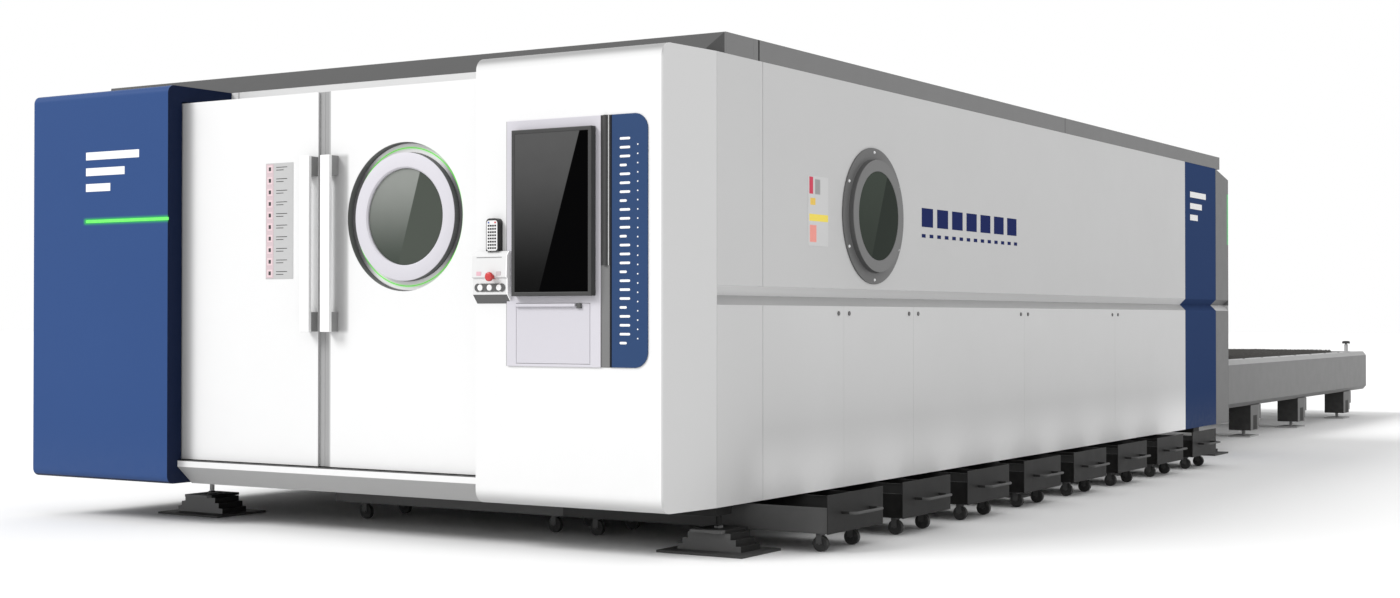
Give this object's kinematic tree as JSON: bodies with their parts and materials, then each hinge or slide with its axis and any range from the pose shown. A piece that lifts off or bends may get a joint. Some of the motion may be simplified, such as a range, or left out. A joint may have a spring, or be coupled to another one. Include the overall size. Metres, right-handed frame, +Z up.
{
  "type": "fiber laser cutting machine",
  "caption": "Enclosed fiber laser sheet cutting machine with sliding front doors, side console, moving gantry and head, scrap trolleys and a rear table with pallets that change places.",
  "frame": {"origin": "centre of the whole footprint at floor level", "axes": "+X to the operator's right, towards the trolleys' pull bars; +Y from the front doors back along the exchange table; +Z up"},
  "size_m": [4.611, 14.988, 2.4],
  "materials": {
    "white_paint": "satin white powder coat",
    "wall_paint": "light grey powder coat",
    "roof_paint": "mid grey powder coat",
    "blue_paint": "satin deep blue powder coat",
    "console_paint": "satin off-white powder coat",
    "dark_paint": "dark grey powder coat",
    "table_paint": "mid grey powder coat",
    "bed_steel": "machined and painted steel weldment",
    "rail_steel": "ground steel",
    "gantry_aluminium": "fine cast aluminium",
    "slat_steel": "hot rolled steel, cut edges",
    "green_light": "lit green diffuser",
    "window_glass": "dark green laser safety glass",
    "screen_glass": "black glass panel",
    "dark_plastic": "moulded dark plastic",
    "white_plastic": "smooth white plastic",
    "red_plastic": "smooth red plastic"
  },
  "bodies": {
    "machine_body": {"left_wall_panels": "wall_paint", "wall_groove_strips": "wall_paint", "right_upper_wall": "wall_paint", "right_lower_panels": "wall_paint", "rear_band_panels": "blue_paint", "rear_portal": "table_paint", "rear_wall_panels": "table_paint", "rear_light_strips": "green_light", "side_window_flange": "white_paint", "side_window_glass": "window_glass", "roof_panels": "roof_paint", "left_cover": "blue_paint", "cover_light_bar": "green_light", "console_pillar": "white_paint", "console_panel": "console_paint", "console_side_panel": "blue_paint", "screen_housing": "dark_plastic", "screen_glass": "screen_glass", "operator_box": "white_paint", "remote_control": "dark_plastic", "front_wall_panels": "white_paint", "door_sill": "white_paint", "bed_frame": "bed_steel", "rails_and_tracks": "rail_steel", "levelling_feet": "dark_paint", "laser_source": "wall_paint", "table_frame": "table_paint", "table_legs": "dark_paint"},
    "left_door": {"left_door": "white_paint", "left_door_handle": "white_plastic"},
    "right_door": {"right_door": "white_paint", "right_door_handle": "white_plastic", "door_window_ring": "white_paint", "door_window_glass": "window_glass"},
    "keyboard_flap": {"keyboard_flap": "console_paint", "keyboard": "dark_plastic"},
    "flap_latch": {"flap_latch": "dark_plastic"},
    "emergency_stop": {"emergency_stop": "red_plastic"},
    "start_button": {"start_button": "white_plastic"},
    "pause_button": {"pause_button": "white_plastic"},
    "reset_button": {"reset_button": "white_plastic"},
    "table_stop_button": {"table_stop_button": "dark_plastic"},
    "gantry": {"gantry_beam": "gantry_aluminium"},
    "head_carriage": {"head_carriage": "gantry_aluminium"},
    "cutting_head": {"cutting_head": "rail_steel"},
    "upper_pallet": {"upper_pallet_frame": "table_paint", "upper_pallet_slats": "slat_steel"},
    "lower_pallet": {"lower_pallet_frame": "table_paint", "lower_pallet_slats": "slat_steel"},
    "scrap_trolley_1": {"scrap_trolley_1": "dark_paint"},
    "scrap_trolley_2": {"scrap_trolley_2": "dark_paint"},
    "scrap_trolley_3": {"scrap_trolley_3": "dark_paint"},
    "scrap_trolley_4": {"scrap_trolley_4": "dark_paint"},
    "scrap_trolley_5": {"scrap_trolley_5": "dark_paint"},
    "scrap_trolley_6": {"scrap_trolley_6": "dark_paint"},
    "scrap_trolley_7": {"scrap_trolley_7": "dark_paint"},
    "scrap_trolley_8": {"scrap_trolley_8": "dark_paint"}
  },
  "joints": [
    {"name": "left_door_slide", "type": "slide", "parent": "machine_body", "child": "left_door", "axis": [-1, 0, 0], "range_m": [0, 0.83]},
    {"name": "right_door_slide", "type": "slide", "parent": "machine_body", "child": "right_door", "axis": [1, 0, 0], "range_m": [0, 0.83]},
    {"name": "keyboard_flap_fold", "type": "hinge", "parent": "machine_body", "child": "keyboard_flap", "pos_m": [1.179, -7.424, 0.874], "axis": [1, 0, 0], "range_deg": [0, 90]},
    {"name": "flap_latch_turn", "type": "hinge", "parent": "keyboard_flap", "child": "flap_latch", "pos_m": [1.3295, -7.4293, 1.136], "axis": [0, 1, 0], "range_deg": [0, 90]},
    {"name": "emergency_stop_press", "type": "slide", "parent": "machine_body", "child": "emergency_stop", "axis": [0, 1, 0], "range_m": [0, 0.006], "stiffness_N_per_m": 500},
    {"name": "start_button_press", "type": "slide", "parent": "machine_body", "child": "start_button", "axis": [0, 1, 0], "range_m": [0, 0.003], "stiffness_N_per_m": 300},
    {"name": "pause_button_press", "type": "slide", "parent": "machine_body", "child": "pause_button", "axis": [0, 1, 0], "range_m": [0, 0.003], "stiffness_N_per_m": 300},
    {"name": "reset_button_press", "type": "slide", "parent": "machine_body", "child": "reset_button", "axis": [0, 1, 0], "range_m": [0, 0.003], "stiffness_N_per_m": 300},
    {"name": "table_stop_press", "type": "slide", "parent": "machine_body", "child": "table_stop_button", "axis": [0, 0, -1], "range_m": [0, 0.006], "stiffness_N_per_m": 2000, "springref_m": -0.01},
    {"name": "gantry_travel", "type": "slide", "parent": "machine_body", "child": "gantry", "axis": [0, 1, 0], "range_m": [-1.1, 5]},
    {"name": "carriage_travel", "type": "slide", "parent": "gantry", "child": "head_carriage", "axis": [1, 0, 0], "range_m": [-1.25, 1.25]},
    {"name": "head_lift", "type": "slide", "parent": "head_carriage", "child": "cutting_head", "axis": [0, 0, 1], "range_m": [-0.045, 0.15]},
    {"name": "lower_pallet_travel", "type": "slide", "parent": "machine_body", "child": "lower_pallet", "axis": [0, 1, 0], "range_m": [0, 7.15]},
    {"name": "upper_pallet_travel", "type": "slide", "parent": "machine_body", "child": "upper_pallet", "axis": [0, 1, 0], "range_m": [-7.15, 0]},
    {"name": "scrap_trolley_1_roll", "type": "slide", "parent": "machine_body", "child": "scrap_trolley_1", "axis": [1, 0, 0], "range_m": [-0.4, 2.9]},
    {"name": "scrap_trolley_2_roll", "type": "slide", "parent": "machine_body", "child": "scrap_trolley_2", "axis": [1, 0, 0], "range_m": [-0.4, 2.9]},
    {"name": "scrap_trolley_3_roll", "type": "slide", "parent": "machine_body", "child": "scrap_trolley_3", "axis": [1, 0, 0], "range_m": [-0.4, 2.9]},
    {"name": "scrap_trolley_4_roll", "type": "slide", "parent": "machine_body", "child": "scrap_trolley_4", "axis": [1, 0, 0], "range_m": [-0.4, 2.9]},
    {"name": "scrap_trolley_5_roll", "type": "slide", "parent": "machine_body", "child": "scrap_trolley_5", "axis": [1, 0, 0], "range_m": [-0.4, 2.9]},
    {"name": "scrap_trolley_6_roll", "type": "slide", "parent": "machine_body", "child": "scrap_trolley_6", "axis": [1, 0, 0], "range_m": [-0.4, 2.9]},
    {"name": "scrap_trolley_7_roll", "type": "slide", "parent": "machine_body", "child": "scrap_trolley_7", "axis": [1, 0, 0], "range_m": [-0.4, 2.9]},
    {"name": "scrap_trolley_8_roll", "type": "slide", "parent": "machine_body", "child": "scrap_trolley_8", "axis": [1, 0, 0], "range_m": [-0.4, 2.9]}
  ],
  "couplings": [
    {"joint": "upper_pallet_travel", "follows": "lower_pallet_travel", "ratio": -1}
  ]
}
